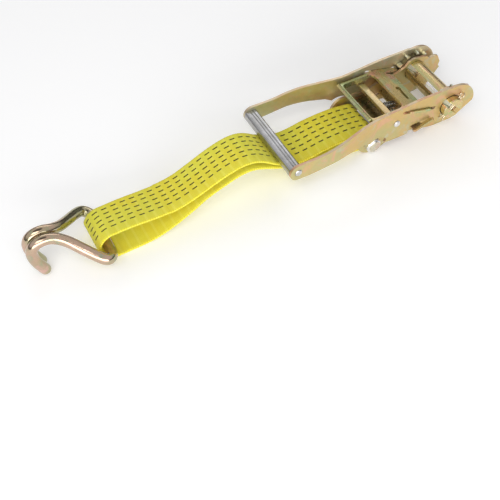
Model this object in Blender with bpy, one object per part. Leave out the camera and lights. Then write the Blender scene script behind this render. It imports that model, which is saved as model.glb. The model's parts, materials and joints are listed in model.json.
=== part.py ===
"""Ratchet tie down, fixed end: ratchet buckle, doubled webbing loop and double-J wire hook.

Metres, +Z up, origin on the floor at the middle of the bounding box. All measures below are in
millimetres from the spindle axis (x towards the spindle end, z up) and are scaled on the way out.
"""

import math

import bmesh
import bpy
from mathutils import Vector
from mathutils.geometry import tessellate_polygon

MM = 0.001
ORIGIN_X = 217.45
FLOOR_Z = -33.0
GAP = 0.3

# sheet metal layout across the buckle, as distances from the middle plane
SHEET = 3.0
FRAME_INNER = 27.3
GEAR_INNER = 30.6
GEAR_OUTER = 35.4
HANDLE_INNER = 35.8
FLARE = 11.8
FLARE_START_X = -85.5
FLARE_END_X = -162.0

# spindle and gears
SPINDLE_R = 12.5
SLOT_WIDTH = 6.0
SLOT_TILT = math.radians(-45.0)
SPINDLE_HALF_LENGTH = 46.0
FRAME_BORE_R = 12.9
HANDLE_BORE_R = 13.5
TEETH = 10
TOOTH_TIP_R = 22.5
TOOTH_ROOT_R = 18.3
TOOTH_PHASE = 155.0
COTTER_Y = 42.3
COTTER_WIRE_R = 0.9

# pawls: direction of travel seen from the spindle, tip distance at rest
HANDLE_PAWL_DIR = math.radians(165.5)
FRAME_PAWL_DIR = math.radians(197.0)
PAWL_TIP_R = 22.9
PAWL_TAB = 51.0
PAWL_SPRING_Y = -9.0

# handle
GRIP_X = -197.8
GRIP_Z = 5.6
GRIP_END_R = 9.5
GRIP_PIN_R = 4.0
SPACER_X = -70.4
SPACER_Z = 4.6

# strap bolt
BOLT_X = -94.6
BOLT_Z = -20.5
BOLT_R = 4.9
SLEEVE_R = 9.0

# webbing
WEB_WIDTH = 50.0
WEB_THICK = 2.7
WEB_FOLD_X = -390.5
WEB_FOLD_Z = -15.9
WEB_FOLD_R = 15.0
WEB_DRIFT = 0.045
WEB_DRIFT_X = -180.0
WEB_ROLL = math.radians(7.5)

# hook
HOOK_Y = -9.5
HOOK_WIRE_R = 5.65
HOOK_BAR_X = -395.5
HOOK_BAR_Z = -16.5


def world(x, y, z):
    return Vector((x + ORIGIN_X, y, z - FLOOR_Z)) * MM


def finish(name, bm, material, origin, smooth=False):
    bmesh.ops.remove_doubles(bm, verts=bm.verts, dist=1e-7)
    bmesh.ops.recalc_face_normals(bm, faces=bm.faces)
    centre = world(*origin)
    bmesh.ops.translate(bm, verts=bm.verts, vec=-centre)
    mesh = bpy.data.meshes.new(name)
    bm.to_mesh(mesh)
    bm.free()
    mesh.materials.append(material)
    if smooth:
        mesh.shade_smooth()
        mesh.set_sharp_from_angle(angle=math.radians(35))
    obj = bpy.data.objects.new(name, mesh)
    obj.location = centre
    bpy.context.scene.collection.objects.link(obj)
    return obj


def material(name, colour, metallic, roughness):
    mat = bpy.data.materials.new(name)
    mat.use_nodes = True
    shader = mat.node_tree.nodes["Principled BSDF"]
    shader.inputs["Base Color"].default_value = (*colour, 1.0)
    shader.inputs["Metallic"].default_value = metallic
    shader.inputs["Roughness"].default_value = roughness
    return mat


def arc(cx, cy, r, start, end, steps):
    out = []
    for i in range(steps + 1):
        a = math.radians(start + (end - start) * i / steps)
        out.append((cx + r * math.cos(a), cy + r * math.sin(a)))
    return out


def circle(cx, cy, r, steps=32):
    return arc(cx, cy, r, 0, 360, steps)[:-1]


def curve_through(points, steps=4):
    """A Catmull-Rom curve through the points, open."""
    pts = [Vector(p) for p in points]
    pts = [2 * pts[0] - pts[1]] + pts + [2 * pts[-1] - pts[-2]]
    out = []
    for a, b, c, d in zip(pts, pts[1:], pts[2:], pts[3:]):
        for i in range(steps):
            t = i / steps
            q = 2 * b + (c - a) * t + (2 * a - 5 * b + 4 * c - d) * t**2
            out.append(0.5 * (q + (3 * b - a - 3 * c + d) * t**3))
    return [tuple(p) for p in out] + [tuple(points[-1])]


def radial_slot(direction, r0, r1, half):
    """A slot with round ends along a line from the spindle axis."""
    ax, az = math.cos(direction), math.sin(direction)
    flat = arc(r1 - half, 0, half, -90, 90, 8) + arc(r0 + half, 0, half, 90, 270, 8)
    return [(u * ax - v * az, u * az + v * ax) for u, v in flat]


def prism(bm, loops, place, w0, w1):
    """A closed plate: the first loop is its outline and the others are holes."""
    flat = [[Vector((u, v, 0)) for u, v in loop] for loop in loops]
    triangles = tessellate_polygon(flat)
    uv = [p for loop in flat for p in loop]
    sides = []
    for w in (w0, w1):
        sides.append([bm.verts.new(place(p.x, p.y, w)) for p in uv])
    for a, b, c in triangles:
        bm.faces.new((sides[0][a], sides[0][b], sides[0][c]))
        bm.faces.new((sides[1][c], sides[1][b], sides[1][a]))
    start = 0
    for loop in flat:
        n = len(loop)
        for i in range(n):
            a, b = start + i, start + (i + 1) % n
            bm.faces.new((sides[0][a], sides[0][b], sides[1][b], sides[1][a]))
        start += n


def plate(name, loops, y0, y1, mat, origin):
    bm = bmesh.new()
    prism(bm, loops, world_from_section, y0, y1)
    return finish(name, bm, mat, origin)


def world_from_section(x, z, y):
    return world(x, y, z)


def turned(name, profile, cx, cz, mat, origin, sides=32):
    """A solid of revolution about a line along y; the profile is (y, radius) pairs."""
    bm = bmesh.new()
    rings = []
    for y, r in profile:
        rings.append([bm.verts.new(world(x, y, z)) for x, z in circle(cx, cz, r, sides)])
    join_rings(bm, rings)
    return finish(name, bm, mat, origin, smooth=True)


def join_rings(bm, rings, closed=False):
    n = len(rings[0])
    pairs = list(zip(rings, rings[1:]))
    if closed:
        pairs.append((rings[-1], rings[0]))
    for a, b in pairs:
        for i in range(n):
            bm.faces.new((a[i], a[(i + 1) % n], b[(i + 1) % n], b[i]))
    if not closed:
        bm.faces.new(rings[0])
        bm.faces.new(rings[-1][::-1])


def wire(name, path, radius, mat, origin, sides=10, round_ends=False):
    """A round wire along a path, with frames carried along it without twist."""
    pts = [Vector(p) for p in path]
    tangents = []
    for i in range(len(pts)):
        tangents.append((pts[min(i + 1, len(pts) - 1)] - pts[max(i - 1, 0)]).normalized())
    side = tangents[0].orthogonal().normalized()
    bm = bmesh.new()
    rings = []
    for i, (p, t) in enumerate(zip(pts, tangents)):
        side = (side - t * side.dot(t)).normalized()
        up = t.cross(side)
        stations = [(0.0, 1.0)]
        if round_ends and i == 0:
            stations = [(-0.95, 0.30), (-0.75, 0.66), (-0.4, 0.92), (0.0, 1.0)]
        if round_ends and i == len(pts) - 1:
            stations = [(0.0, 1.0), (0.4, 0.92), (0.75, 0.66), (0.95, 0.30)]
        for along, scale in stations:
            centre = p + t * along * radius
            ring = []
            for k in range(sides):
                a = 2 * math.pi * k / sides
                offset = side * math.cos(a) + up * math.sin(a)
                ring.append(bm.verts.new(world(*(centre + offset * radius * scale))))
            rings.append(ring)
    join_rings(bm, rings)
    return finish(name, bm, mat, origin, smooth=True)


def boolean(obj, cutter, operation):
    mod = obj.modifiers.new(operation.lower(), "BOOLEAN")
    mod.operation = operation
    mod.solver = "EXACT"
    mod.object = cutter
    cutter.hide_render = True
    cutter.display_type = "WIRE"


def smoothstep(t):
    t = min(max(t, 0.0), 1.0)
    return t * t * (3 - 2 * t)


def flare(x):
    return FLARE * smoothstep((FLARE_START_X - x) / (FLARE_START_X - FLARE_END_X))


# ---------------------------------------------------------------- frame plates


def frame_outline():
    end_arc = arc(BOLT_X - 0.9, BOLT_Z + 3.5, 16.0, 74, 270, 18)
    bottom = [(-84, -32.2), (-72, -27), (-58, -24.6), (-44, -25), (-30, -28.6), (-20, -31.6)]
    cam = [(3, -33), (13, -31), (22, -27.8), (28.6, -22.5), (30.6, -16.5), (36.0, -9.5)]
    notch = [(34.0, -6.8), (34.0, -5.2), (35.4, -1.5), (31.2, 8.6), (27.5, 10.2)]
    dip = [(22, 9.4), (18.6, 10.6), (15.4, 14)]
    collar = arc(0, 0, 17.2, 68, 122, 8)
    top = [(-13.5, 9.6), (-20, 6.4), (-32, 3.6), (-46, 2.2), (-60, -1.2), (-74, -2.6), (-86, -2.2)]
    return (
        end_arc
        + curve_through(bottom, 3)
        + [(-12, -33)]
        + curve_through(cam, 3)
        + notch
        + dip
        + collar
        + curve_through(top, 3)
    )


def frame_plate(name, side, mat):
    loops = [
        frame_outline(),
        circle(0, 0, FRAME_BORE_R, 40),
        circle(BOLT_X, BOLT_Z, BOLT_R + GAP, 24),
        radial_slot(FRAME_PAWL_DIR, 24.4, 56.6, 1.9),
    ]
    return plate(name, loops, side * FRAME_INNER, side * (FRAME_INNER + SHEET), mat, (0, 0, 0))


# ---------------------------------------------------------------- handle


def handle_outline():
    grip_end = arc(GRIP_X, GRIP_Z, GRIP_END_R, 262, 90, 16)
    top = [(-184, 14.6), (-172, 14.7), (-160, 16.0), (-148, 17.7), (-136, 19.2), (-120, 20.4)]
    top += [(-104, 21.1), (-91, 21.2), (-79, 22.2), (-66, 23.2), (-43, 24.8), (-20, 24.8), (-5, 24.9)]
    end = arc(5, -3, 27.5, 100, 0, 14)
    boss = [(31.6, -6.2), (22.6, -12), (10, -20), (-1, -22), (-11, -20.4), (-18.6, -15.4)]
    notch = [(-20.3, -9.6), (-22.6, -7.4), (-48.5, -7.4), (-51.2, -8.8), (-53.4, -11.6), (-54.2, -17.6)]
    lower = [(-56, -18.2), (-66, -18.2), (-76, -18), (-84, -17.2)]
    over_bolt = arc(BOLT_X, BOLT_Z, 14.6, 28, 128, 10)
    back = [(-112, -4.6), (-122, -3.3), (-135, -2.0), (-148, -1.9), (-161, -2.4), (-173, -3.4)]
    tail = [(-185, -4.2), (-194, -3.9)]
    return (
        grip_end[:-1]
        + curve_through([grip_end[-1]] + top, 3)
        + end
        + curve_through(boss, 3)
        + notch
        + lower
        + over_bolt
        + curve_through(back + tail, 3)
    )


def handle_plate(name, side, mat):
    bm = bmesh.new()
    loops = [
        handle_outline(),
        circle(0, 0, HANDLE_BORE_R, 40),
        radial_slot(HANDLE_PAWL_DIR, 21.0, 65.5, 1.9),
        circle(SPACER_X, SPACER_Z, 2.7, 16),
        circle(GRIP_X, GRIP_Z, GRIP_PIN_R + GAP, 24),
    ]
    prism(bm, loops, world_from_section, side * HANDLE_INNER, side * (HANDLE_INNER + SHEET))
    bends = 12
    for i in range(bends + 1):
        x = FLARE_START_X + (FLARE_END_X - FLARE_START_X) * i / bends
        geometry = list(bm.verts) + list(bm.edges) + list(bm.faces)
        at = world(x, 0, 0)
        bmesh.ops.bisect_plane(bm, geom=geometry, dist=1e-7, plane_co=at, plane_no=(1, 0, 0))
    for v in bm.verts:
        v.co.y += side * flare(v.co.x / MM - ORIGIN_X) * MM
    return finish(name, bm, mat, (0, 0, 0))


def grip_section():
    """The grip bar's section: rounded, with two grooves along its top."""
    half, top, low = 7.3, 11.2, 0.5
    right = GRIP_X + 5.25
    left = right - 2 * half
    out = arc(left + 3.2, low + 3.2, 3.2, 270, 180, 5)
    out += arc(left + 3.2, top - 3.2, 3.2, 180, 90, 5)
    for centre in (left + 6.1, left + 9.1):
        out += [(centre - 0.75, top), (centre - 0.45, top - 0.8)]
        out += [(centre + 0.45, top - 0.8), (centre + 0.75, top)]
    out += arc(right - 3.2, top - 3.2, 3.2, 90, 0, 5)
    out += arc(right - 3.2, low + 3.2, 3.2, 0, -90, 5)
    return out


def handle_spacer(mat):
    n = 24
    round_ring = circle(SPACER_X, SPACER_Z, 1.0, n)
    box_ring = []
    for x, z in round_ring:
        dx, dz = x - SPACER_X, z - SPACER_Z
        scale = min(3.6 / max(abs(dx), 1e-6), 2.7 / max(abs(dz), 1e-6))
        box_ring.append((SPACER_X + dx * scale, SPACER_Z + dz * scale))
    flush = HANDLE_INNER - GAP
    outer = HANDLE_INNER + SHEET + 0.2
    stations = [(flush, None), (flush, 2.4), (outer, 2.4), (outer, 4.0), (outer + 1.0, 3.7), (outer + 1.7, 2.4)]
    bm = bmesh.new()
    rings = []
    for side, order in ((-1, stations[::-1]), (1, stations)):
        for y, r in order:
            ring = box_ring
            if r:
                ring = [(SPACER_X + (x - SPACER_X) * r, SPACER_Z + (z - SPACER_Z) * r) for x, z in round_ring]
            rings.append([bm.verts.new(world(x, side * y, z)) for x, z in ring])
    join_rings(bm, rings)
    return finish("handle_spacer", bm, mat, (0, 0, 0))


# ---------------------------------------------------------------- pawls


def sheet_path(segments, heading):
    """A function from distance along a bent sheet to (x, z, heading)."""

    def at(s):
        x, z, a = 0.0, 0.0, heading
        for length, turn in segments:
            run = min(max(s, 0.0), length)
            if turn and run > 0:
                rate = turn / length
                r = 1 / rate
                x += r * (math.sin(a + rate * run) - math.sin(a))
                z -= r * (math.cos(a + rate * run) - math.cos(a))
                a += rate * run
            else:
                x += run * math.cos(a)
                z += run * math.sin(a)
            s -= run
            if s <= 1e-9:
                break
        return x, z, a

    return at


def bent_sheet(name, loops, at, cuts, mat):
    """A sheet drawn flat in (distance from spindle, y), then laid along a bent path."""
    bm = bmesh.new()
    prism(bm, loops, lambda s, y, w: Vector((s, y, w)), -SHEET / 2, SHEET / 2)
    for s in cuts:
        geometry = list(bm.verts) + list(bm.edges) + list(bm.faces)
        bmesh.ops.bisect_plane(bm, geom=geometry, dist=1e-5, plane_co=(s, 0, 0), plane_no=(1, 0, 0))
    for v in bm.verts:
        x, z, a = at(v.co.x)
        w = v.co.z
        v.co = world(x + w * math.sin(a), v.co.y, z - w * math.cos(a))
    return finish(name, bm, mat, (0, 0, 0))


def mirrored(half):
    return half + [(s, -y) for s, y in reversed(half)]


def handle_pawl(mat):
    tip = PAWL_TIP_R
    half = [(35, 0.01), (35, 23.5), (36.5, 25.2), (42, 26.2), (42, 30.9), (tip, 30.9), (tip, 35.3)]
    half += [(28, 35.3), (28.6, 40.4), (29.6, 41), (56, 41), (57, 40.2), (57.6, 35.3)]
    half += [(58.6, 34.2), (60.2, 33.2)] + arc(101.5, 29.7, 3.5, 90, 0, 5) + [(105.0, 0.01)]
    window = arc(94.6, 26.2, 4.0, 0, 90, 4) + arc(64.5, 24.2, 6.0, 90, 180, 5)
    window += arc(64.5, -24.2, 6.0, 180, 270, 5) + arc(94.6, -26.2, 4.0, 270, 360, 4)
    keyhole = arc(45.0, -18.0, 1.7, 180, 360, 6) + arc(45.0, -0.8, 3.3, -58, 238, 14)
    bend_a, bend_b = math.radians(14.5), math.radians(-48)
    at = sheet_path([(58.0, 0), (3.0, bend_a), (38.0, 0), (3.0, bend_b), (20.0, 0)], HANDLE_PAWL_DIR)
    cuts = [58, 59, 60, 61, 99, 99.75, 100.5, 101.25, 102]
    obj = bent_sheet("handle_pawl", [mirrored(half), window, keyhole], at, cuts, mat)
    bm = bmesh.new()
    ax, az = math.cos(HANDLE_PAWL_DIR), math.sin(HANDLE_PAWL_DIR)
    tab = [(48.6, 0.6), (48.6, 15.2), (49.4, 16.2), (50.2, 16.2), (PAWL_TAB, 15.2), (PAWL_TAB, 0.6)]
    y0, y1 = PAWL_SPRING_Y - 4.6, PAWL_SPRING_Y + 4.6
    prism(bm, [tab], lambda s, d, y: world(s * ax + d * az, y, s * az + d * ax), y0, y1)
    rail = [(-60.5, 14.9), (-61.6, 11.6), (-64.5, 9.2), (-94.0, 9.2), (-97.4, 11.0), (-98.2, 14.9)]
    for side in (-1, 1):
        prism(bm, [rail], world_from_section, side * 30.4, side * 33.1)
    boolean(obj, finish("handle_pawl_ribs_tool", bm, mat, (0, 0, 0)), "UNION")
    return obj


def frame_pawl(mat):
    tip = PAWL_TIP_R
    half = [(30, 0.01), (30, 30.8), (tip, 30.8), (tip, 35.3), (37.6, 35.3), (38.6, 36.4), (38.6, 38.2)]
    half += [(37.6, 39.2), (27.5, 39.2), (25.8, 40.2), (25.5, 41.9), (26.8, 43.2), (49.0, 43.2)]
    half += [(50.5, 41.7), (50.5, 40.0), (49.5, 38.6), (49.5, 2.0), (55.0, 2.0), (56.0, 1.2), (56.0, 0.01)]
    at = sheet_path([(80.0, 0)], FRAME_PAWL_DIR)
    return bent_sheet("frame_pawl", [mirrored(half)], at, [], mat)


def coil(name, start, end, radius, wire_r, turns, mat):
    a, b = Vector(start), Vector(end)
    axis = (b - a).normalized()
    u = Vector((0, 1, 0))
    v = axis.cross(u)
    steps = 14
    path = []
    for i in range(turns * steps + 1):
        t = i / (turns * steps)
        end_run = 1.0 / turns
        climb = min(max((t - end_run) / (1 - 2 * end_run), 0.0), 1.0)
        along = wire_r + (2.1 * wire_r) * (min(t, end_run) + max(t - 1 + end_run, 0)) / end_run
        along += ((b - a).length - 6.2 * wire_r) * climb
        turn = 2 * math.pi * turns * t
        path.append(a + axis * along + (u * math.cos(turn) + v * math.sin(turn)) * radius)
    return wire(name, path, wire_r, mat, (0, 0, 0), sides=6)


# ---------------------------------------------------------------- spindle


def along_slot(u, v):
    """From the slot's own axes (along it, and across it) to x and z."""
    c, s = math.cos(SLOT_TILT), math.sin(SLOT_TILT)
    return u * c - v * s, u * s + v * c


def half_round(radius, flat, side, steps=20):
    start = math.degrees(math.asin(flat / radius))
    pts = arc(0, 0, radius, start, 180 - start, steps)
    return [along_slot(u, side * v) for u, v in pts]


def spindle_half(name, side, mat):
    bm = bmesh.new()
    rings = []
    ends = [(SPINDLE_HALF_LENGTH, 0.9), (SPINDLE_HALF_LENGTH - 0.9, 0.0)]
    stations = [(-y, cut) for y, cut in ends] + [(y, cut) for y, cut in reversed(ends)]
    for y, cut in stations:
        ring = half_round(SPINDLE_R - cut, SLOT_WIDTH / 2 + cut * 0.3, side)
        rings.append([bm.verts.new(world(x, y, z)) for x, z in ring])
    join_rings(bm, rings)
    obj = finish(name, bm, mat, (0, 0, 0), smooth=True)
    for end in (-1, 1):
        tool = bmesh.new()
        reach = []
        for v in (side * (SLOT_WIDTH / 2 - 1), side * (SPINDLE_R + 2)):
            ring = []
            for u, y in circle(0, end * COTTER_Y, 2.2, 16):
                x, z = along_slot(u, v)
                ring.append(tool.verts.new(world(x, y, z)))
            reach.append(ring)
        join_rings(tool, reach)
        boolean(obj, finish(f"{name}_tool_{end}", tool, mat, (0, 0, 0)), "DIFFERENCE")
    return obj


def gear_outline():
    pitch = 360 / TEETH
    out = []
    for k in range(TEETH):
        tip = TOOTH_PHASE + k * pitch
        out += arc(0, 0, TOOTH_ROOT_R, tip + 0.6, tip + 20.0, 4)
        out += arc(0, 0, TOOTH_TIP_R, tip + pitch - 5.5, tip + pitch - 0.2, 2)
    return out


def gear(name, side, mat):
    loops = [gear_outline()]
    for half in (-1, 1):
        loops.append(half_round(SPINDLE_R + 0.25, SLOT_WIDTH / 2 - 0.25, half))
    return plate(name, loops, side * GEAR_INNER, side * GEAR_OUTER, mat, (0, 0, 0))


def cotter(name, side, mat):
    leg = COTTER_WIRE_R + 0.12
    path = [(-2.6, -18.2), (-1.6, -15.6), (-leg, -13.6), (-leg, -6), (-leg, 4), (-leg, 13.2)]
    path += [(u, v) for u, v in arc(0, 17.0, 2.6, 232, -52, 16)]
    path += [(leg, 13.2), (leg, 4), (leg, -6), (leg, -13.6), (1.6, -15.6), (2.6, -18.2)]
    smooth = curve_through(path, 2)
    points = []
    for u, v in smooth:
        x, z = along_slot(0, v)
        points.append((x, side * COTTER_Y + u, z))
    return wire(name, points, COTTER_WIRE_R, mat, (0, 0, 0), sides=8)


# ---------------------------------------------------------------- webbing and hook


def web_centreline():
    """The loop's centreline in section, from the bolt along the top, round the hook, and back."""
    top = [
        (-103, -8.4),
        (-112, -7.2),
        (-124, -7.0),
        (-138, -7.4),
        (-152, -8.8),
        (-166, -11.2),
        (-180, -12.0),
        (-191, -8.6),
        (-201, -3.9),
        (-211, 1.9),
        (-222, 10.2),
        (-233, 15.4),
        (-245, 16.9),
        (-258, 15.0),
        (-272, 10.9),
        (-290, 4.2),
        (-308, -1.9),
        (-325, -4.5),
        (-345, -3.8),
        (-368, -1.6),
    ]
    low = [
        (-370, -31.2),
        (-352, -30.4),
        (-338, -27.4),
        (-323, -22.2),
        (-308, -15.2),
        (-290, -7.0),
        (-271, -0.8),
        (-255, 4.2),
        (-243, 6.2),
        (-232, 5.0),
        (-220, 0.4),
        (-208, -5.4),
        (-194, -11.6),
        (-176, -18.0),
        (-155, -22.8),
        (-132, -26.6),
        (-112, -29.2),
    ]
    wrap_r = SLEEVE_R + GAP + 0.05 + WEB_THICK / 2
    fold = arc(WEB_FOLD_X, WEB_FOLD_Z, WEB_FOLD_R, 92, 268, 9)
    wrap = arc(BOLT_X, BOLT_Z, wrap_r, 262, 450, 10)
    loop = top + fold + low + wrap
    return curve_through([loop[-1]] + loop, 3)[:-1]


def web_lean(x, z):
    """How far the strap drifts sideways and how it tips, at this point of the loop."""
    drift = WEB_DRIFT * min(x - WEB_DRIFT_X, 0.0)
    upper = smoothstep((z - WEB_FOLD_Z + 8) / 16) if x < -330 else 1.0
    away = smoothstep((-200.0 - x) / 130.0)
    low_side = 1.0 if x < -330 else smoothstep((z + 14) / 14)
    return drift, math.tan(WEB_ROLL) * away * upper * low_side


def web_half(x):
    """Half the strap's width, which narrows a little where the loop is pulled round the hook."""
    return WEB_WIDTH / 2 - 2.0 * smoothstep((-185 - x) / 70) - 1.0 * smoothstep((-330 - x) / 60)


def webbing(mat):
    centre = web_centreline()
    n = len(centre)
    outer, inner = [], []
    for i, (x, z) in enumerate(centre):
        ahead, behind = centre[(i + 1) % n], centre[i - 1]
        t = Vector((ahead[0] - behind[0], ahead[1] - behind[1])).normalized()
        outer.append((x + t.y * WEB_THICK / 2, z - t.x * WEB_THICK / 2))
        inner.append((x - t.y * WEB_THICK / 2, z + t.x * WEB_THICK / 2))
    bm = bmesh.new()
    rings = []
    for i, (x, z) in enumerate(centre):
        drift, tip = web_lean(x, z)
        ring = []
        for (px, pz), side in ((outer[i], -1), (outer[i], 1), (inner[i], 1), (inner[i], -1)):
            y = side * web_half(x)
            ring.append(bm.verts.new(world(px, drift + y, pz - y * tip)))
        rings.append(ring)
    join_rings(bm, rings, closed=True)
    return finish("webbing", bm, mat, (BOLT_X, 0, BOLT_Z), smooth=True)


def hook_path():
    """One leg of the hook from the middle of its bar to its tip, as (x, sideways, z)."""
    bx, bz = HOOK_BAR_X, HOOK_BAR_Z
    neck = HOOK_WIRE_R + 0.12
    bar = [(bx, 0.0, bz), (bx, 10.0, bz), (bx, 20.0, bz), (bx - 0.3, 26.0, bz + 0.1)]
    corner = [(bx - 3.0, 31.8, bz + 0.9), (bx - 8.4, 34.0, bz + 3.4)]
    leg = [(-411.5, 29.0, -8.2), (-421.5, 19.6, -1.6), (-431.5, 10.6, 5.4), (-441, 6.4, 10.8)]
    bend = [(-449.0, neck, 13.9), (-456.6, neck, 13.6), (-462.3, neck, 10.0), (-465.0, neck, 3.6)]
    tip = [(-464.9, neck, -4.0), (-462.6, neck, -13.0), (-459.2, neck, -21.5), (-457.2, neck, -26.4)]
    return bar + corner + leg + bend + tip


def hook(mat):
    half = curve_through(hook_path(), 4)
    path = [(x, HOOK_Y - s, z) for x, s, z in reversed(half)]
    path += [(x, HOOK_Y + s, z) for x, s, z in half[1:]]
    return wire(
        "hook", path, HOOK_WIRE_R, mat, (HOOK_BAR_X, HOOK_Y, HOOK_BAR_Z), sides=16, round_ends=True
    )


# ---------------------------------------------------------------- assembly


def build():
    for obj in list(bpy.data.objects):
        bpy.data.objects.remove(obj, do_unlink=True)
    zinc = material("yellow_zinc_sheet", (0.60, 0.50, 0.27), 0.9, 0.34)
    zinc_gear = material("yellow_zinc_gear", (0.52, 0.44, 0.26), 0.9, 0.38)
    zinc_wire = material("yellow_zinc_wire", (0.62, 0.48, 0.34), 0.9, 0.3)
    bright = material("bright_steel", (0.72, 0.72, 0.71), 0.95, 0.28)
    spring = material("spring_wire", (0.45, 0.44, 0.42), 0.95, 0.35)
    yellow = material("yellow_polyester", (0.85, 0.78, 0.08), 0.0, 0.8)
    for side, label in ((-1, "near"), (1, "far")):
        frame_plate(f"frame_plate_{label}", side, zinc)
        handle_plate(f"handle_plate_{label}", side, zinc)
        gear(f"gear_{label}", side, zinc_gear)
        cotter(f"cotter_pin_{label}", side, bright)
    spindle_half("spindle_half_upper", 1, zinc_gear)
    spindle_half("spindle_half_lower", -1, zinc_gear)

    bm = bmesh.new()
    loops = [grip_section(), circle(GRIP_X, GRIP_Z, GRIP_PIN_R + GAP, 24)]
    reach = HANDLE_INNER + FLARE - GAP
    prism(bm, loops, world_from_section, -reach, reach)
    finish("grip_bar", bm, bright, (0, 0, 0))
    out = HANDLE_INNER + SHEET + FLARE
    pin = [(-out - 0.9, GRIP_PIN_R - 0.8), (-out - 0.2, GRIP_PIN_R), (out + 0.2, GRIP_PIN_R)]
    turned("grip_pin", pin + [(out + 0.9, GRIP_PIN_R - 0.8)], GRIP_X, GRIP_Z, bright, (0, 0, 0))
    handle_spacer(bright)
    handle_pawl(zinc)
    frame_pawl(zinc)

    hx, hz = math.cos(HANDLE_PAWL_DIR), math.sin(HANDLE_PAWL_DIR)
    seat = Vector((SPACER_X + 3.6, PAWL_SPRING_Y, SPACER_Z))
    towards = Vector((-hx, 0, -hz))
    far_end = seat + towards * 0.9
    run = far_end.x * hx + far_end.z * hz - PAWL_TAB - GAP
    coil("handle_pawl_spring", far_end, far_end + towards * run, 3.2, 0.55, 7, spring)
    fx, fz = math.cos(FRAME_PAWL_DIR), math.sin(FRAME_PAWL_DIR)
    ends = [(r * fx, 0, r * fz) for r in (49.5 + GAP, 72.0 - GAP)]
    coil("frame_pawl_spring", ends[0], ends[1], 3.4, 0.55, 7, spring)
    bm = bmesh.new()
    across = FRAME_INNER - GAP
    section = [(-60.5, -9.6), (-60.5, -6.6), (-83.0, -6.6), (-84.5, -8.1), (-84.5, -9.6), (-75.4, -9.6)]
    section += [(r * fx + d * fz, r * fz - d * fx) for r, d in ((75, -4.4), (72, -4.4))]
    prism(bm, [section + [(-72.3, -9.6)]], world_from_section, -across, across)
    finish("frame_spacer", bm, zinc, (0, 0, 0))

    face = FRAME_INNER + SHEET + GAP
    bolt = [(-face - 7.3, 4.0), (-face - 6.4, 7.0), (-face - 4.6, 8.7), (-face - 1.2, 9.0), (-face, 9.0)]
    bolt += [(-face, BOLT_R), (face + 7.0, BOLT_R), (face + 7.7, BOLT_R - 0.9)]
    turned("strap_bolt", bolt, BOLT_X, BOLT_Z, zinc, (BOLT_X, 0, BOLT_Z))
    nut = [(BOLT_X + x, BOLT_Z + z) for x, z in circle(0, 0, 17 / math.sqrt(3), 6)]
    bore = circle(BOLT_X, BOLT_Z, BOLT_R + 0.25, 24)
    plate("bolt_nut", [nut, bore], face, face + 6.2, zinc, (BOLT_X, 0, BOLT_Z))
    sleeve = [circle(BOLT_X, BOLT_Z, SLEEVE_R, 32), circle(BOLT_X, BOLT_Z, BOLT_R + GAP, 32)]
    plate("bolt_sleeve", sleeve, -across, across, zinc, (BOLT_X, 0, BOLT_Z))

    webbing(yellow)
    hook(zinc_wire)


build()
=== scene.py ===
"""Ratchet tie down, fixed end: the finished look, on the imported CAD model."""

import json
import math

import bmesh
import bpy
from mathutils import Euler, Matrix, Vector


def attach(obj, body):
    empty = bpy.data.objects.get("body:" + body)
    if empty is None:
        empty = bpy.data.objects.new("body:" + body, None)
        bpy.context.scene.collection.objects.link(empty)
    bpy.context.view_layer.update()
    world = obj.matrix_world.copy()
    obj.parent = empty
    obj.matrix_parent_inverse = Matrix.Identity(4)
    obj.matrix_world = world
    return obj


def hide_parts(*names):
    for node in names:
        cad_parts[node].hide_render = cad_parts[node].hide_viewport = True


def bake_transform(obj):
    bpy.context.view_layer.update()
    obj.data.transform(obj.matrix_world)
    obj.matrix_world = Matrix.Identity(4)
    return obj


MM = 0.001
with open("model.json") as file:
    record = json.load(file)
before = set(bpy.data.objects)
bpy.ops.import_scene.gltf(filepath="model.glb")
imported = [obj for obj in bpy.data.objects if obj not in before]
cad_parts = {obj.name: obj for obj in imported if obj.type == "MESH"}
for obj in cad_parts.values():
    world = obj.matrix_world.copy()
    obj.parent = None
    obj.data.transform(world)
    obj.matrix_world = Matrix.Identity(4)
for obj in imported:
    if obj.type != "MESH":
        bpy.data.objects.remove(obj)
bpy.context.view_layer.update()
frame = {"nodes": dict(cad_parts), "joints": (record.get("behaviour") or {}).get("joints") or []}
nodes = frame["nodes"]

joint_at = {j["name"]: Vector(j["pos_m"]) / MM for j in frame["joints"] if j.get("pos_m")}
AXIS_X, _, AXIS_Z = joint_at["handle_hinge"]

# Sizes below are in millimetres, from the spindle's axis, and repeat the CAD model's.
BOLT_X, BOLT_Z = -94.6, -20.5
BOLT_RIM_R = 6.3  # the flat of the bolt's head ends here
SLEEVE_R = 9.0
ROOT_PAINTED_SHADE_R = 18.6  # painted shade: the gears are painted darkest just inside this
SPACER_END = 36.5  # where the spacer's riveted ends begin, across the buckle
STRAP_WIDTH = 50.0
STRAP_THICK = 2.5
CAD_THICK = 2.7
FOLD_X, FOLD_Z, FOLD_R = -390.5, -15.9, 15.0


def place(x, y, z):
    """A point given in millimetres from the spindle's axis."""
    return Vector((x + AXIS_X, y, z + AXIS_Z)) * MM


# ---------------------------------------------------------------- camera, floor and lights


CAMERA_AT = (-519, -570, 670)
CAMERA_AZIMUTH, CAMERA_ELEVATION = -29.03, 46.61  # degrees
CAMERA_LENS = 64.63
CAMERA_SHIFT = (-0.04, -0.18)  # the object lies in the picture's upper half


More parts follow.
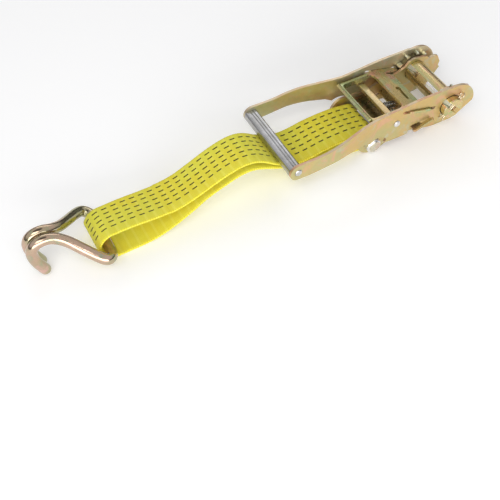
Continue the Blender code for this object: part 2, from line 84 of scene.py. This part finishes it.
def make_camera():
    data = bpy.data.cameras.new("camera")
    data.sensor_width = 36.0
    data.lens = CAMERA_LENS
    data.shift_x, data.shift_y = CAMERA_SHIFT
    data.clip_start = 0.01
    cam = bpy.data.objects.new("camera", data)
    cam.location = place(*CAMERA_AT)
    azimuth, elevation = math.radians(CAMERA_AZIMUTH), math.radians(CAMERA_ELEVATION)
    cam.rotation_euler = Euler((math.pi / 2 - elevation, 0, azimuth))
    bpy.context.scene.collection.objects.link(cam)
    bpy.context.scene.camera = cam


class Graph:
    """Short calls that build a material's nodes, round one Principled shader."""

    def __init__(self, name):
        self.mat = bpy.data.materials.new(name)
        self.mat.use_nodes = True
        self.tree = self.mat.node_tree
        self.shader = self.tree.nodes["Principled BSDF"]
        self.colour = None  # the colour worked out so far, for finishes that add to it

    def new(self, kind, **settings):
        node = self.tree.nodes.new("ShaderNode" + kind)
        for key, value in settings.items():
            setattr(node, key, value)
        return node

    def put(self, socket, value):
        if isinstance(value, bpy.types.NodeSocket):
            self.tree.links.new(value, socket)
        elif isinstance(value, tuple) and socket.type == "RGBA":
            socket.default_value = (*value, 1.0)
        else:
            socket.default_value = value

    def set(self, **values):
        for key, value in values.items():
            self.put(self.shader.inputs[key.replace("_", " ")], value)

    def math(self, operation, a, b=0.0, c=0.0):
        node = self.new("Math", operation=operation)
        for socket, value in zip(node.inputs, (a, b, c)):
            self.put(socket, value)
        return node.outputs[0]

    def mix(self, factor, a, b):
        node = self.new("Mix", data_type="RGBA")
        for index, value in ((0, factor), (6, a), (7, b)):
            self.put(node.inputs[index], value)
        return node.outputs[2]

    def step(self, value, low, high, to_low=0.0, to_high=1.0):
        node = self.new("MapRange", interpolation_type="SMOOTHSTEP")
        for socket, v in zip(node.inputs, (value, low, high, to_low, to_high)):
            self.put(socket, v)
        return node.outputs[0]

    def scaled(self, vector, factors, shift=(0.0, 0.0, 0.0)):
        node = self.new("VectorMath", operation="MULTIPLY_ADD")
        for socket, value in zip(node.inputs, (vector, factors, shift)):
            self.put(socket, value)
        return node.outputs[0]

    def noise(self, vector, scale, detail=3.0, rough=0.5, twist=0.0):
        node = self.new("TexNoise")
        self.put(node.inputs["Vector"], vector)
        settings = {"Scale": scale, "Detail": detail, "Roughness": rough, "Distortion": twist}
        for key, value in settings.items():
            node.inputs[key].default_value = value
        return node.outputs[0]

    def coords(self):
        node = self.new("TexCoord")
        return node.outputs["Object"], node.outputs["Normal"]

    def split(self, vector):
        node = self.new("SeparateXYZ")
        self.put(node.inputs[0], vector)
        return node.outputs

    def from_axis(self, x, z):
        """How far a point of the model is from the line along y at x, z millimetres."""
        dx, _, dz = self.split(self.scaled(self.coords()[0], (1.0, 1.0, 1.0), tuple(-place(x, 0, z))))
        square = self.math("ADD", self.math("MULTIPLY", dx, dx), self.math("MULTIPLY", dz, dz))
        return self.math("SQRT", square)

    def bump(self, height, strength, distance, under=None):
        node = self.new("Bump")
        node.inputs["Strength"].default_value = strength
        node.inputs["Distance"].default_value = distance
        self.put(node.inputs["Height"], height)
        if under:
            self.put(node.inputs["Normal"], under)
        return node.outputs[0]


FLOOR_DROP = 0.0004
FLOOR_GLOW = 0.12  # as a lit table has, so that the floor stays pale to its far side


def stage():
    mesh = bpy.data.meshes.new("floor")
    bm = bmesh.new()
    bmesh.ops.create_grid(bm, x_segments=1, y_segments=1, size=6.0)
    bm.to_mesh(mesh)
    bm.free()
    floor = bpy.data.objects.new("floor", mesh)
    floor.location.z = -FLOOR_DROP
    bpy.context.scene.collection.objects.link(floor)
    g = Graph("floor")
    g.set(Base_Color=(0.95, 0.95, 0.95), Roughness=0.9, Specular_IOR_Level=0.1)
    g.set(Emission_Color=(1.0, 1.0, 1.0), Emission_Strength=FLOOR_GLOW)
    mesh.materials.append(g.mat)


# the surroundings' brightness, by the sine of the height: a dark band low down and a dark
# patch overhead give the metal something to reflect
SKY = {0.0: 0.30, 0.03: 0.07, 0.20: 0.06, 0.29: 0.62, 0.42: 0.90, 0.70: 1.0, 0.90: 1.0, 0.94: 0.05, 1.0: 0.03}
SKY_STRENGTH = 0.70


def studio_world():
    world = bpy.data.worlds.new("studio")
    world.use_nodes = True
    tree = world.node_tree
    coord = tree.nodes.new("ShaderNodeTexCoord")
    split = tree.nodes.new("ShaderNodeSeparateXYZ")
    ramp = tree.nodes.new("ShaderNodeValToRGB")
    tree.links.new(coord.outputs["Generated"], split.inputs[0])
    tree.links.new(split.outputs[2], ramp.inputs[0])
    stops = ramp.color_ramp.elements
    for height, value in SKY.items():
        end = {0.0: 0, 1.0: -1}.get(height)
        stop = stops.new(height) if end is None else stops[end]
        stop.color = (value, value, value * 1.01, 1)
    background = tree.nodes["Background"]
    tree.links.new(ramp.outputs[0], background.inputs["Color"])
    background.inputs["Strength"].default_value = SKY_STRENGTH
    bpy.context.scene.world = world


def softbox(name, at, size, power):
    data = bpy.data.lights.new(name, "AREA")
    data.shape = "RECTANGLE"
    data.size, data.size_y = size
    data.energy = power
    light = bpy.data.objects.new(name, data)
    light.location = at
    light.rotation_euler = (Vector((0, 0, 0.02)) - Vector(at)).to_track_quat("-Z", "Y").to_euler()
    bpy.context.scene.collection.objects.link(light)


make_camera()
stage()
studio_world()
bpy.context.scene.view_settings.view_transform = "Standard"
softbox("key", (-0.6, -0.7, 1.3), (1.0, 0.7), 6)
softbox("low", (-0.5, -1.5, 0.45), (2.4, 0.8), 24)
softbox("back", (0.5, 1.3, 1.0), (1.4, 0.4), 3)


# ---------------------------------------------------------------- metal


WHITE_WEAR = (0.72, 0.68, 0.60)
SHEARED = (0.66, 0.40, 0.27), (0.66, 0.55, 0.38)  # the two tints of a cut edge


def zinc(name, tints, seed, rough=0.36, grime=0.12, sheared=0.0, streak=(1, 1, 1)):
    """Yellow chromate over zinc: gold with drifting green, pink and pale patches.

    sheared is how strongly a plate's cut edges show, and streak draws the patches out.
    """
    gold, green, pink, pale = tints
    g = Graph(name)
    spot, normal = g.coords()
    same = (1.0, 1.0, 1.0)
    shifted = g.scaled(spot, same, (seed, seed * 0.37, -seed))
    drawn = g.scaled(shifted, streak)
    broad = g.noise(drawn, 24.0, 3.0, 0.55, 0.6)
    second = g.noise(g.scaled(drawn, same, (3.1, 1.7, 0.4)), 42.0, 4.0, 0.6, 1.2)
    third = g.noise(g.scaled(drawn, same, (7.3, 2.9, 5.2)), 60.0, 3.0, 0.55, 0.8)
    speck = g.noise(shifted, 900.0, 2.0, 0.6)
    grain = g.noise(shifted, 260.0, 4.0, 0.7)
    scratch = g.noise(g.scaled(shifted, (30.0, 800.0, 620.0)), 1.0, 2.0, 0.5)

    colour = g.mix(g.step(broad, 0.42, 0.62), gold, green)
    colour = g.mix(g.step(second, 0.50, 0.68, 0.0, 0.85), colour, pink)
    colour = g.mix(g.step(third, 0.56, 0.72, 0.0, 0.8), colour, pale)
    colour = g.mix(g.step(grain, 0.35, 0.65, grime, 0.0), colour, tuple(0.45 * c for c in gold))
    colour = g.mix(g.step(speck, 0.68, 0.76, 0.0, 1.2 * grime), colour, (0.10, 0.07, 0.04))
    colour = g.mix(g.step(scratch, 0.68, 0.74, 0.0, 0.25), colour, WHITE_WEAR)
    if sheared:
        across = g.math("ABSOLUTE", g.split(normal)[1])
        edge = g.step(across, 0.94, 0.55, 0.0, sheared)
        colour = g.mix(edge, colour, g.mix(g.step(second, 0.4, 0.6), *SHEARED))
    g.colour = colour

    roughness = g.step(grain, 0.3, 0.7, rough - 0.07, rough + 0.10)
    g.set(Base_Color=colour, Metallic=0.88, Roughness=roughness)
    waves = g.bump(broad, 0.25, 0.0012)
    marks = g.math("ADD", grain, g.math("MULTIPLY", scratch, 0.4))
    g.set(Normal=g.bump(marks, 0.7 * grime, 0.00012, waves))
    return g


def silver(name, tint, seed, rough, brushed):
    """Bright zinc, brushed by the three factors given, with faint marks."""
    g = Graph(name)
    spot, _ = g.coords()
    shifted = g.scaled(spot, (1.0, 1.0, 1.0), (seed, seed, seed))
    lines = g.noise(g.scaled(shifted, brushed), 1.0, 3.0, 0.6)
    cloud = g.noise(shifted, 55.0, 4.0, 0.6, 0.5)
    dents = g.noise(shifted, 420.0, 2.0, 0.5)
    dulled = tuple(c * f for c, f in zip(tint, (0.80, 0.79, 0.76)))
    colour = g.mix(g.step(cloud, 0.35, 0.65), tint, dulled)
    colour = g.mix(g.step(lines, 0.55, 0.75, 0.0, 0.35), colour, tuple(c * 0.62 for c in tint))
    colour = g.mix(g.step(dents, 0.70, 0.76, 0.0, 0.5), colour, (0.16, 0.15, 0.14))
    roughness = g.step(lines, 0.3, 0.7, rough - 0.06, rough + 0.08)
    g.set(Base_Color=colour, Metallic=0.95, Roughness=roughness)
    g.set(Normal=g.bump(lines, 0.2, 0.00008, g.bump(cloud, 0.15, 0.0004)))
    return g


# the tints of each zinc finish: gold, green, pink, pale
PALE = (0.57, 0.56, 0.40)
SHEET = (0.68, 0.49, 0.20), (0.57, 0.51, 0.24), (0.75, 0.45, 0.28), PALE
# painted light: a paler, lit copy of the sheet's tints, for the far handle plate's inner face, which catches
# light from the floor
FAR_SIDE_LIT = (0.66, 0.55, 0.34), (0.58, 0.57, 0.40), (0.68, 0.50, 0.36), (0.62, 0.64, 0.54)
PAWL = (0.66, 0.50, 0.21), (0.42, 0.50, 0.25), (0.80, 0.41, 0.31), PALE
STOP = (0.64, 0.46, 0.20), (0.54, 0.46, 0.21), (0.68, 0.41, 0.26), (0.52, 0.48, 0.30)
# painted shade: these tints darken the yellow zinc of the frame spacer, which sits in the shade inside the
# frame
INNER = (0.25, 0.17, 0.07), (0.17, 0.16, 0.07), (0.32, 0.17, 0.10), (0.22, 0.20, 0.13)
SHAFT = (0.68, 0.55, 0.25), (0.48, 0.50, 0.22), (0.78, 0.45, 0.30), PALE
HOOK = (0.56, 0.40, 0.29), (0.42, 0.40, 0.24), (0.70, 0.45, 0.39), (0.34, 0.42, 0.28)
BOLT = (0.72, 0.56, 0.42), (0.62, 0.58, 0.44), (0.78, 0.50, 0.42), (0.66, 0.66, 0.62)
GEAR = (0.82, 0.78, 0.60), (0.72, 0.75, 0.58), (0.88, 0.74, 0.62), (0.84, 0.84, 0.78)
SPACER = (0.72, 0.53, 0.27), (0.58, 0.53, 0.30), (0.80, 0.49, 0.36), PALE
ALONG_Y = (3.0, 0.25, 3.0)  # draws the shaft's patches out along it
ALL_ROUND = (600.0, 600.0, 600.0)

sheet_zinc = zinc("zinc_sheet", SHEET, 0.0, sheared=0.9)
# painted light: the far handle plate is painted paler than the same zinc on the near plate
far_lit_zinc = zinc("zinc_far_painted_light", FAR_SIDE_LIT, 0.0, sheared=0.45)
pawl_zinc = zinc("zinc_pawl", PAWL, 4.0, rough=0.30, grime=0.05)
shaft_zinc = zinc("zinc_shaft", SHAFT, 13.0, rough=0.20, grime=0.02, streak=ALONG_Y)
hook_zinc = zinc("zinc_hook", HOOK, 21.0, rough=0.11, grime=0.10)
# painted shade: the frame spacer's zinc, painted dark for the shade inside the frame
painted_shade_zinc = zinc("zinc_inner_painted_shade", INNER, 31.0, rough=0.3)
stop_zinc = zinc("zinc_stop", STOP, 33.0, rough=0.3, grime=0.10)
cotter_steel = silver("cotter_steel", (0.60, 0.53, 0.38), 5.0, 0.26, ALL_ROUND)
grip_steel = silver("grip_steel", (0.50, 0.50, 0.51), 1.0, 0.27, (900.0, 12.0, 900.0))
pin_steel = silver("pin_steel", (0.64, 0.64, 0.63), 2.0, 0.24, ALL_ROUND)
spring_steel = silver("spring_steel", (0.30, 0.29, 0.26), 3.0, 0.26, (500.0, 500.0, 500.0))


def bolt_metal():
    """The bolt is zinc yellow with a painted highlight: a bright rim round the flat of its head, on its
    chamfer.
    """
    g = zinc("zinc_bolt", BOLT, 17.0, rough=0.26, grime=0.10)
    rim = g.step(g.from_axis(BOLT_X, BOLT_Z), BOLT_RIM_R * MM, (BOLT_RIM_R + 0.9) * MM)
    # painted highlight: beyond the flat of the head, the chamfer is painted near white
    g.set(Base_Color=g.mix(rim, g.colour, (0.76, 0.75, 0.73)))
    return g


def gear_metal():
    """The gears are pale, with painted shade round the roots of their teeth."""
    g = zinc("zinc_gear", GEAR, 9.0, rough=0.30, grime=0.10)
    away = g.from_axis(0, 0)
    teeth = g.step(away, ROOT_PAINTED_SHADE_R * MM, (ROOT_PAINTED_SHADE_R + 2.0) * MM)
    bore = g.step(away, (ROOT_PAINTED_SHADE_R - 2.1) * MM, (ROOT_PAINTED_SHADE_R - 3.6) * MM)
    # painted shade: round the roots of the teeth, between the bore and the teeth, the gear is painted near
    # black
    g.set(Base_Color=g.mix(g.math("MAXIMUM", teeth, bore), (0.14, 0.12, 0.07), g.colour))
    return g


def spacer_metal():
    """The spacer bar is zinc yellow, and its riveted ends are beaten bright."""
    g = zinc("zinc_spacer", SPACER, 27.0, rough=0.3, grime=0.10)
    out = g.math("ABSOLUTE", g.split(g.coords()[0])[1])
    beaten = g.step(out, SPACER_END * MM, (SPACER_END + 1.0) * MM)
    g.set(Base_Color=g.mix(beaten, g.colour, (0.74, 0.73, 0.72)))
    return g


gear_zinc = gear_metal()

finish_of = {
    "frame_plate_near": sheet_zinc,
    "frame_plate_far": sheet_zinc,
    "handle_plate_near": sheet_zinc,
    "handle_plate_far": far_lit_zinc,
    "handle_pawl": pawl_zinc,
    "frame_pawl": stop_zinc,
    "frame_spacer": painted_shade_zinc,
    "strap_bolt": bolt_metal(),
    "bolt_nut": sheet_zinc,
    "bolt_sleeve": sheet_zinc,
    "gear_near": gear_zinc,
    "gear_far": gear_zinc,
    "spindle_half_upper": shaft_zinc,
    "spindle_half_lower": shaft_zinc,
    "cotter_pin_near": cotter_steel,
    "cotter_pin_far": cotter_steel,
    "grip_bar": grip_steel,
    "grip_pin": pin_steel,
    "handle_spacer": spacer_metal(),
    "hook": hook_zinc,
}
# how wide the edges are rounded, for names that start so; springs and pins keep theirs
BEVELS = {
    "frame_plate": 0.45,
    "handle_plate": 0.5,
    "handle_pawl": 0.5,
    "frame_pawl": 0.5,
    "frame_spacer": 0.5,
    "handle_spacer": 0.35,
    "gear": 0.35,
    "grip_bar": 0.25,
    "spindle_half": 0.25,
    "bolt_nut": 0.5,
    "bolt_sleeve": 0.3,
    "hook": 1.2,
}
SHARP_EDGE = 32  # degrees; anything less is shaded smooth
BEVELLED_EDGE = 35


def bevel_width(node):
    if node.endswith("spring"):
        return 0.0
    return next((width for start, width in BEVELS.items() if node.startswith(start)), 0.0)


def smooth_group():
    """Nodes that shade everything smooth except the sharp edges."""
    group = bpy.data.node_groups.new("smooth_by_angle", "GeometryNodeTree")
    for name, way in (("Geometry", "INPUT"), ("Geometry", "OUTPUT")):
        group.interface.new_socket(name, in_out=way, socket_type="NodeSocketGeometry")
    add = group.nodes.new
    source, sink = add("NodeGroupInput"), add("NodeGroupOutput")
    angle, above = add("GeometryNodeInputMeshEdgeAngle"), add("FunctionNodeCompare")
    edges, faces = add("GeometryNodeSetShadeSmooth"), add("GeometryNodeSetShadeSmooth")
    above.data_type, above.operation = "FLOAT", "GREATER_THAN"
    above.inputs[1].default_value = math.radians(SHARP_EDGE)
    edges.domain = "EDGE"
    edges.inputs["Shade Smooth"].default_value = False
    link = group.links.new
    link(angle.outputs[0], above.inputs[0])
    link(source.outputs[0], faces.inputs["Geometry"])
    link(faces.outputs[0], edges.inputs["Geometry"])
    link(above.outputs[0], edges.inputs["Selection"])
    link(edges.outputs[0], sink.inputs[0])
    return group


smoothing = smooth_group()


def dress(node, finish, obj=None):
    """Gives a CAD node, or obj in its place, its finish and softened edges."""
    obj = obj or nodes[node]
    obj.data.materials.clear()
    obj.data.materials.append(finish.mat)
    weld = obj.modifiers.new("weld", "WELD")
    weld.merge_threshold = 2e-6
    width = bevel_width(node)
    if width:
        bevel = obj.modifiers.new("bevel", "BEVEL")
        bevel.width = width * MM
        bevel.segments = 2
        bevel.limit_method = "ANGLE"
        bevel.angle_limit = math.radians(BEVELLED_EDGE)
        bevel.use_clamp_overlap = True
    shade = obj.modifiers.new("smooth", "NODES")
    shade.node_group = smoothing
    if width:
        weighted = obj.modifiers.new("weighted", "WEIGHTED_NORMAL")
        weighted.keep_sharp = True


for node, finish in finish_of.items():
    dress(node, finish)


def coil_that_follows(node, pawl):
    """A pawl's spring as an object of its own, named after the pawl, in spring steel; the CAD node is hidden.
    """
    coil = bpy.data.objects.new(pawl + "_coil", nodes[node].data.copy())
    bpy.context.scene.collection.objects.link(coil)
    dress(node, spring_steel, coil)
    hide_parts(node)
    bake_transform(coil)


coil_that_follows("frame_pawl_spring", "frame_pawl")
coil_that_follows("handle_pawl_spring", "handle_pawl")


# ---------------------------------------------------------------- webbing


def arc(cx, cy, r, start, end, steps):
    angles = [math.radians(start + (end - start) * i / steps) for i in range(steps + 1)]
    return [(cx + r * math.cos(a), cy + r * math.sin(a)) for a in angles]


def smoothstep(t):
    t = min(max(t, 0.0), 1.0)
    return t * t * (3 - 2 * t)


def curve_through(points, steps):
    """A closed Catmull-Rom curve through the points."""
    pts = [Vector(p) for p in points]
    n = len(pts)
    out = []
    for k in range(n):
        a, b, c, d = (pts[(k + i) % n] for i in (-1, 0, 1, 2))
        for i in range(steps):
            t = i / steps
            q = 2 * b + (c - a) * t + (2 * a - 5 * b + 4 * c - d) * t**2
            out.append(0.5 * (q + (3 * b - a - 3 * c + d) * t**3))
    return out


def strap_route():
    """The loop's centre line, x and z: over the top, round the hook, back below, round the bolt."""
    top = [(-103, -8.4), (-112, -7.2), (-124, -7.0), (-138, -7.4), (-152, -8.8), (-166, -11.2)]
    top += [(-180, -12.0), (-191, -8.6), (-201, -3.9), (-211, 1.9), (-222, 10.2), (-233, 15.4)]
    top += [(-245, 16.9), (-258, 15.0), (-272, 10.9), (-290, 4.2), (-308, -1.9), (-325, -4.5)]
    top += [(-345, -3.8), (-368, -1.6)]
    low = [(-370, -31.2), (-352, -30.4), (-338, -27.4), (-323, -22.2), (-308, -15.2), (-290, -7.0)]
    low += [(-271, -0.8), (-255, 4.2), (-243, 6.2), (-232, 5.0), (-220, 0.4), (-208, -5.4)]
    low += [(-194, -11.6), (-176, -18.0), (-155, -22.8), (-132, -26.6), (-112, -29.2)]
    wrap_r = SLEEVE_R + 0.35 + CAD_THICK / 2
    fold = arc(FOLD_X, FOLD_Z, FOLD_R, 92, 268, 9)
    wrap = arc(BOLT_X, BOLT_Z, wrap_r, 262, 450, 10)
    return curve_through(top + fold + low + wrap, 24)


def even_steps(points, count):
    """Points at equal spacing round a closed curve, and its length."""
    runs = [0.0]
    for a, b in zip(points, points[1:] + points[:1]):
        runs.append(runs[-1] + (b - a).length)
    out, k = [], 0
    for i in range(count):
        target = runs[-1] * i / count
        while runs[k + 1] < target:
            k += 1
        t = (target - runs[k]) / (runs[k + 1] - runs[k])
        out.append(points[k].lerp(points[(k + 1) % len(points)], t))
    return out, runs[-1]


DRIFT, DRIFT_START = 0.045, -180.0  # the strap runs off sideways from here
TIP = math.tan(math.radians(7.5))  # it tips towards the hook, except round its lower layer
TIP_START, TIP_RUN = -200.0, 130.0
HOOK_END = -330.0


def strap_lean(x, z):
    """The strap's drift sideways, how far it tips, and half its width, at this point of the loop."""
    near_hook = x < HOOK_END
    drift = DRIFT * min(x - DRIFT_START, 0.0)
    upper = smoothstep((z - FOLD_Z + 8) / 16) if near_hook else 1.0
    lower = 1.0 if near_hook else smoothstep((z + 14) / 14)
    tip = TIP * smoothstep((TIP_START - x) / TIP_RUN) * upper * lower
    narrowed = 2.0 * smoothstep((-185 - x) / 70) + 1.0 * smoothstep((HOOK_END - x) / 60)
    return drift, tip, STRAP_WIDTH / 2 - narrowed


COLUMNS = 22


def strap_section():
    """Round the strap's section: (share of half width, share of half thickness), outer side first."""
    out = []
    for side in (1, -1):
        for i in range(COLUMNS + 1):
            y = side * (-1 + 2 * i / COLUMNS)
            out.append((y * 0.972, side))
        for lean, rise in ((0.992, 0.72), (1.0, 0.0), (0.992, -0.72)):
            out.append((side * lean, side * rise))
    return out


RINGS = 680
CELL = 10.0  # the repeat of the dashes and of the faint cross bands
INNER_SHIFT = 0.2  # added to v on the strap's inner face, which has no tracers
RIB, RIB_ALONG, RIB_PITCH = 0.10, 0.05, 2.4  # relief across the strap, along it, and its repeat
SERRATION = 0.22  # how far the selvedge's loops stand out


def webbing():
    centre, length = even_steps(strap_route(), RINGS)
    section = strap_section()
    n, m = len(centre), len(section)
    cells = round(length / CELL)
    bm = bmesh.new()
    layer = bm.loops.layers.uv.new("strap")
    rings, uvs = [], []
    for i, p in enumerate(centre):
        t = (centre[(i + 1) % n] - centre[i - 1]).normalized()
        drift, tip, half = strap_lean(*p)
        phase = 2 * math.pi * cells * i / n
        serration = SERRATION * math.sin(phase * 3)
        ring = []
        for across, side in section:
            ribbed = RIB * math.cos(phase)
            ribbed += RIB_ALONG * math.cos(2 * math.pi * across * half / RIB_PITCH)
            thick = (STRAP_THICK / 2 + (ribbed if abs(side) == 1 else 0.0)) * side
            y = across * half + (serration * across if abs(across) > 0.98 else 0.0)
            x, z = p.x + t.y * thick, p.y - t.x * thick
            ring.append(bm.verts.new(place(x, drift + y, z - y * tip)))
        rings.append(ring)
        uvs.append(cells * CELL * i / n)
    for i in range(n):
        for k in range(m):
            here, there = rings[i], rings[(i + 1) % n]
            sides = (section[k], section[(k + 1) % m])
            face = bm.faces.new((here[k], here[(k + 1) % m], there[(k + 1) % m], there[k]))
            face.smooth = True
            ends = (uvs[i], uvs[i] + cells * CELL / n)
            inner = INNER_SHIFT if max(rise for _, rise in sides) < -0.9 else 0.0
            for loop, (end, side) in zip(face.loops, ((0, 0), (0, 1), (1, 1), (1, 0))):
                across = sides[side][0] * STRAP_WIDTH / 2
                loop[layer].uv = (ends[end] * MM, across * MM + inner)
    bmesh.ops.recalc_face_normals(bm, faces=bm.faces)
    mesh = bpy.data.meshes.new("webbing_strap")
    bm.to_mesh(mesh)
    bm.free()
    obj = bpy.data.objects.new("webbing_strap", mesh)
    bpy.context.scene.collection.objects.link(obj)
    return obj, length


TRACER_PITCH = 7.6  # also the herringbone's repeat
TRACER_FIRST = -12.3


def webbing_material():
    """Yellow polyester: a herringbone, faint cross bands, selvedges and five dashed tracer lines."""
    g = Graph("polyester_webbing")
    where = g.new("UVMap", uv_map="strap").outputs[0]
    u, raw, _ = g.split(where)
    inner = g.math("GREATER_THAN", raw, INNER_SHIFT / 2)
    v = g.math("MULTIPLY_ADD", inner, -INNER_SHIFT, raw)
    spot, _ = g.coords()

    def wave(value, period, shift=0.0):
        turns = g.math("MULTIPLY_ADD", value, 2 * math.pi / (period * MM), shift)
        return g.math("SINE", turns)

    def saw(value, period, start):
        return g.math("FRACT", g.math("MULTIPLY_ADD", value, 1 / (period * MM), -start / period))

    # herringbone weave: warp threads run along the strap and lean one way, then the other
    lean = g.math("ABSOLUTE", g.math("SUBTRACT", saw(v, TRACER_PITCH, 1.0), 0.5))
    twill = wave(g.math("MULTIPLY_ADD", lean, TRACER_PITCH * MM, u), 1.7)
    warp = wave(v, 1.15)
    weave = g.math("MULTIPLY_ADD", twill, 0.6, g.math("MULTIPLY", warp, 0.55))
    band = g.math("MULTIPLY_ADD", wave(u, CELL, -0.6), 0.5, 0.5)
    cloud = g.noise(spot, 26.0, 3.0, 0.5)
    fuzz = g.noise(g.scaled(where, (420.0, 1300.0, 1.0)), 1.0, 4.0, 0.7)

    colour = g.mix(g.step(cloud, 0.38, 0.62), (0.79, 0.75, 0.075), (0.82, 0.72, 0.055))
    colour = g.mix(g.step(band, 0.70, 1.0, 0.0, 0.40), colour, (0.91, 0.86, 0.15))
    # painted shade: the weave's low points, its grooves, are painted darker
    colour = g.mix(g.step(weave, -0.2, -1.0, 0.0, 0.42), colour, (0.54, 0.46, 0.0))
    colour = g.mix(g.step(fuzz, 0.55, 0.75, 0.0, 0.3), colour, (0.98, 0.90, 0.10))
    selvedge = g.step(g.math("ABSOLUTE", v), 23.2 * MM, 24.0 * MM)
    loops = g.step(wave(u, 2.5), -0.4, 0.6, 0.10, 0.45)
    colour = g.mix(g.math("MULTIPLY", selvedge, loops), colour, (0.58, 0.46, 0.0))

    # five tracer threads, each a dash of about half the repeat, sunk into the weave
    edge = TRACER_FIRST - TRACER_PITCH / 2
    middle = TRACER_FIRST + 2 * TRACER_PITCH
    line = g.math("ABSOLUTE", g.math("SUBTRACT", saw(v, TRACER_PITCH, edge), 0.5))
    on_line = g.step(line, 0.118, 0.100)
    off_middle = g.math("ABSOLUTE", g.math("SUBTRACT", v, middle * MM))
    inside = g.step(off_middle, 18.2 * MM, 18.0 * MM)
    dash = g.step(g.math("ABSOLUTE", g.math("SUBTRACT", saw(u, CELL, 0.0), 0.5)), 0.30, 0.265)
    tracer = g.math("MULTIPLY", g.math("MULTIPLY", on_line, inside), dash)
    tracer = g.math("MULTIPLY", tracer, g.math("SUBTRACT", 1.0, inner))
    colour = g.mix(g.math("MULTIPLY", tracer, 0.97), colour, (0.006, 0.006, 0.004))

    g.set(Base_Color=colour, Roughness=0.78, Specular_IOR_Level=0.3)
    g.set(Sheen_Weight=0.04, Sheen_Roughness=0.5)
    g.set(Subsurface_Weight=0.3, Subsurface_Scale=0.004, Subsurface_Radius=(1.0, 0.9, 0.3))
    height = g.math("MULTIPLY_ADD", fuzz, 0.5, weave)
    height = g.math("MULTIPLY_ADD", tracer, 0.8, height)
    g.set(Normal=g.bump(height, 0.55, 0.00022))
    return g


strap, strap_length = webbing()
strap.data.materials.append(webbing_material().mat)
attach(strap, "webbing")
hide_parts("webbing")
